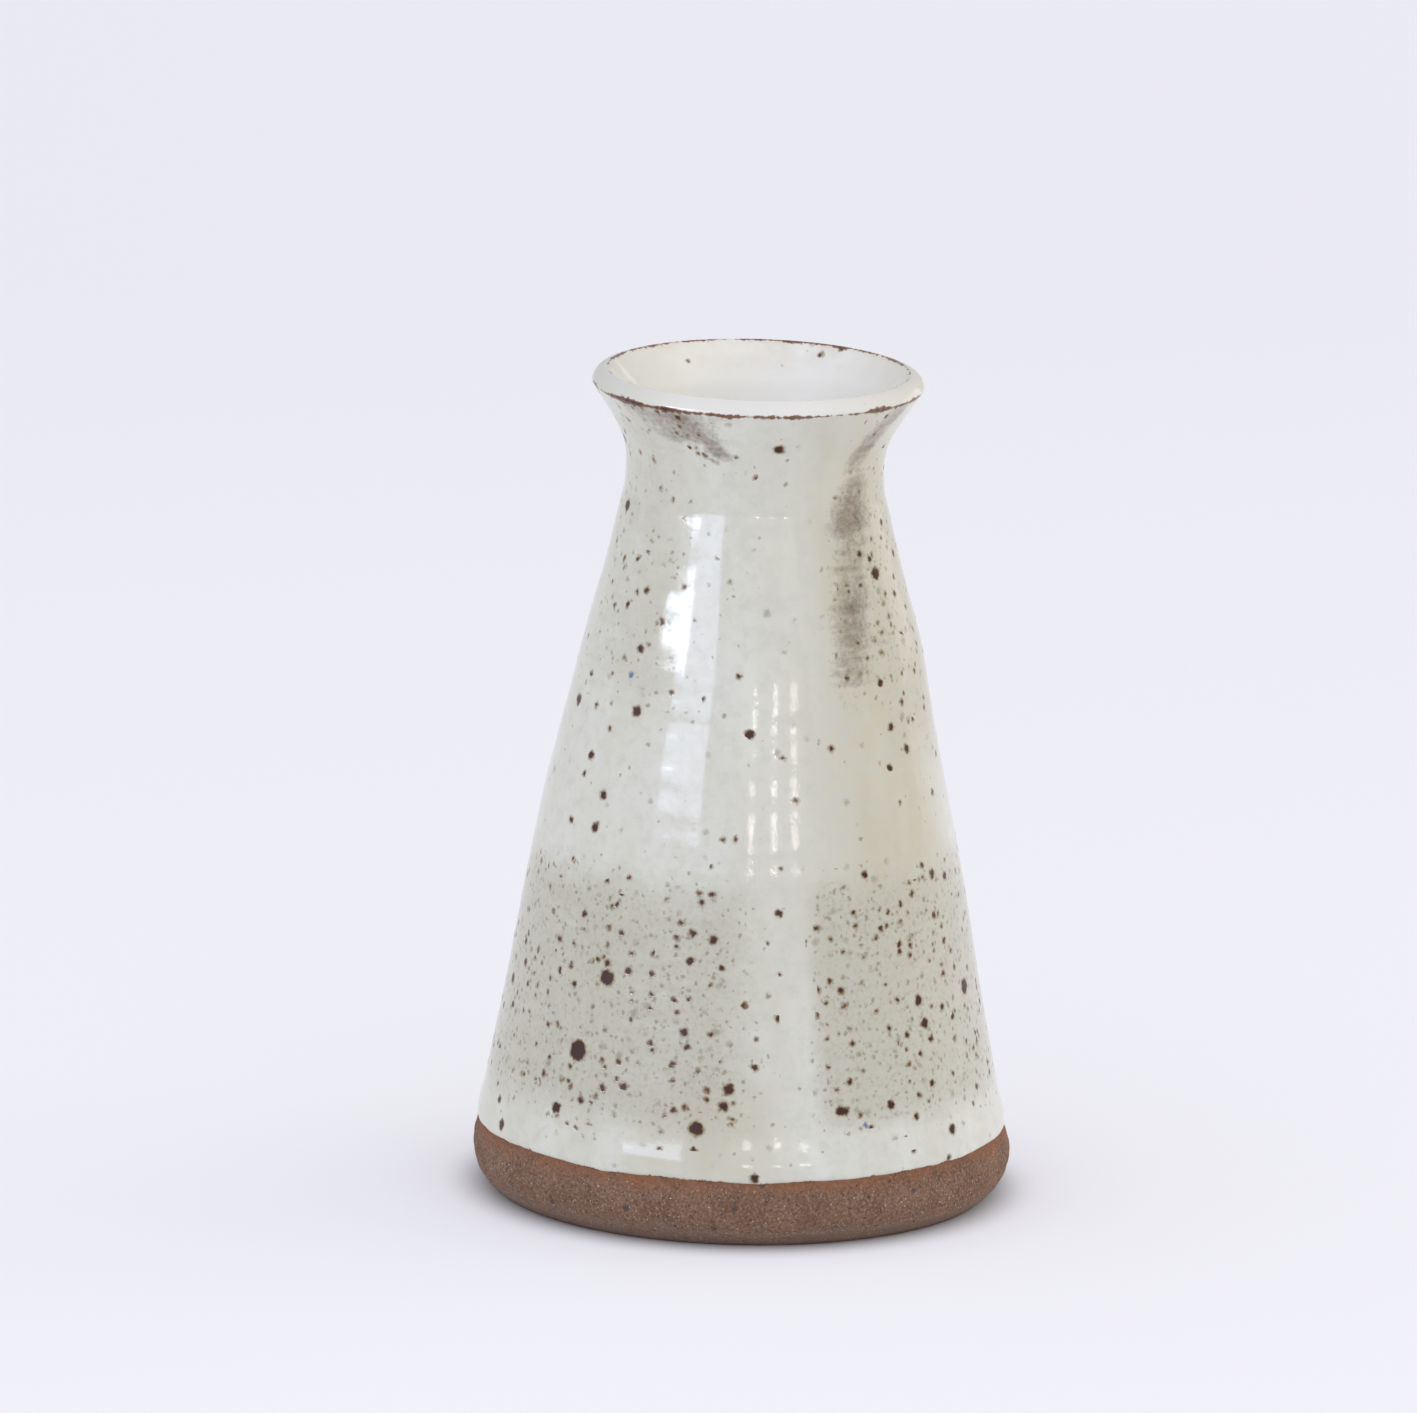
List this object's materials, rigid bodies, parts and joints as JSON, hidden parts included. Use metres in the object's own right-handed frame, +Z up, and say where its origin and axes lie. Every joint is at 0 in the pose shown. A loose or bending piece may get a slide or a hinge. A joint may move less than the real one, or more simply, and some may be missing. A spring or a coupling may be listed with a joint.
{
  "type": "bud vase",
  "caption": "Small hand-thrown stoneware vase with a wide bare-clay foot, a straight tapering body, a narrow neck and a flared glazed lip; it holds water and a flower stem.",
  "frame": {"origin": "centre of the foot, on the surface that the vase stands on", "axes": "+Z up along the axis that the vase was turned on; the body is turned, so +X and +Y have no landmark"},
  "size_m": [0.0816, 0.0816, 0.1264],
  "materials": {
    "stoneware": "bare toasted brown stoneware with dark and pale grit, matt",
    "pale_glaze": "glossy off-white glaze, thinner and grey-tan with brown iron specks in its lower third",
    "white_glaze": "glossy white glaze, thick",
    "iron_glaze": "thin glaze broken to iron brown",
    "liner_glaze": "glossy cream-white glaze"
  },
  "bodies": {
    "root": {"clay_body": "stoneware", "outer_glaze": "pale_glaze", "lip_glaze": "white_glaze", "iron_edge": "iron_glaze", "liner_glaze": "liner_glaze"}
  },
  "joints": []
}
